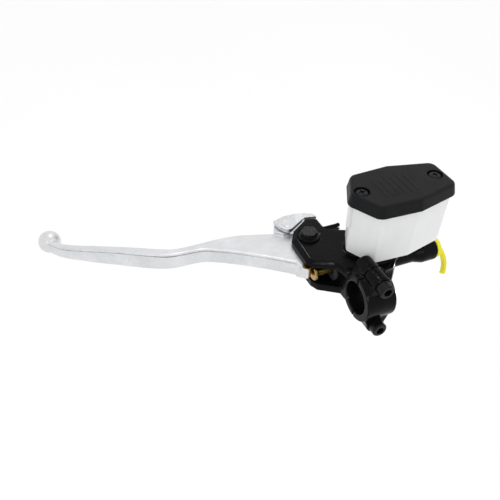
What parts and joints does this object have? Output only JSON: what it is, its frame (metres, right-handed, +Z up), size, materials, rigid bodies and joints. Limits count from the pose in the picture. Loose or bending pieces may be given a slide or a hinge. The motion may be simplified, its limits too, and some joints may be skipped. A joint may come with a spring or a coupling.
{
  "type": "brake master cylinder",
  "caption": "Handlebar brake master cylinder with a ball-ended lever, translucent reservoir, black seven-sided cover, two-screw bar clamp and a yellow outlet plug.",
  "frame": {"origin": "centre of the handlebar clamp's bore, halfway along its width", "axes": "+X along the handlebar towards its middle, opposite to the lever; +Y forward, away from the rider; +Z up, towards the reservoir's cover"},
  "size_m": [0.2652, 0.154, 0.0834],
  "materials": {
    "black_cast": "gloss black paint over a cast surface",
    "black_steel": "black oxide",
    "cover_plastic": "fine moulded texture, satin",
    "reservoir_nylon": "translucent natural nylon",
    "rubber": "moulded",
    "zinc_steel": "bright zinc plate",
    "spring_steel": "drawn wire",
    "yellow_zinc": "yellow zinc plate",
    "bare_aluminium": "tumbled bare casting",
    "yellow_plastic": "soft moulded"
  },
  "bodies": {
    "housing": {"master_body": "black_cast", "clamp_cap": "black_cast", "clamp_screws": "black_steel", "reservoir": "reservoir_nylon", "reservoir_seal": "rubber", "reservoir_screw": "zinc_steel", "port_baffle": "zinc_steel", "diaphragm": "rubber", "cover": "cover_plastic", "cover_screws": "black_steel", "pivot_bolt": "black_steel", "pivot_nut": "zinc_steel", "stop_washer": "zinc_steel", "snap_ring": "spring_steel", "dust_seal": "rubber", "return_spring": "spring_steel"},
    "piston": {"piston": "yellow_zinc", "secondary_cup": "rubber", "primary_cup": "rubber", "spring_seat": "zinc_steel"},
    "lever": {"lever": "bare_aluminium", "pivot_bush": "yellow_zinc", "push_pin": "yellow_zinc", "lock_pin": "zinc_steel", "lock_spring": "spring_steel"},
    "lock": {"parking_lock": "bare_aluminium"},
    "plug": {"outlet_plug": "yellow_plastic"}
  },
  "joints": [
    {"name": "lever_pivot", "type": "hinge", "parent": "housing", "child": "lever", "pos_m": [-0.017, 0.054, 0], "axis": [0, 0, 1], "range_deg": [0, 19], "stiffness_Nm_per_rad": 0.7, "springref_deg": -25.78},
    {"name": "piston_slide", "type": "slide", "parent": "housing", "child": "piston", "axis": [1, 0, 0], "range_m": [0, 0.0077], "deforming": ["return_spring"]},
    {"name": "parking_lock_turn", "type": "hinge", "parent": "lever", "child": "lock", "pos_m": [-0.0254, 0.0704, 0], "axis": [0, 0, 1], "range_deg": [0, 20], "stiffness_Nm_per_rad": 0.02, "springref_deg": -22.92, "deforming": ["lock_spring"]},
    {"name": "plug_pull", "type": "slide", "parent": "housing", "child": "plug", "axis": [1, 0, 0], "range_m": [0, 0.04]}
  ],
  "couplings": [
    {"joint": "piston_slide", "follows": "lever_pivot", "m_per_rad": 0.02286}
  ]
}
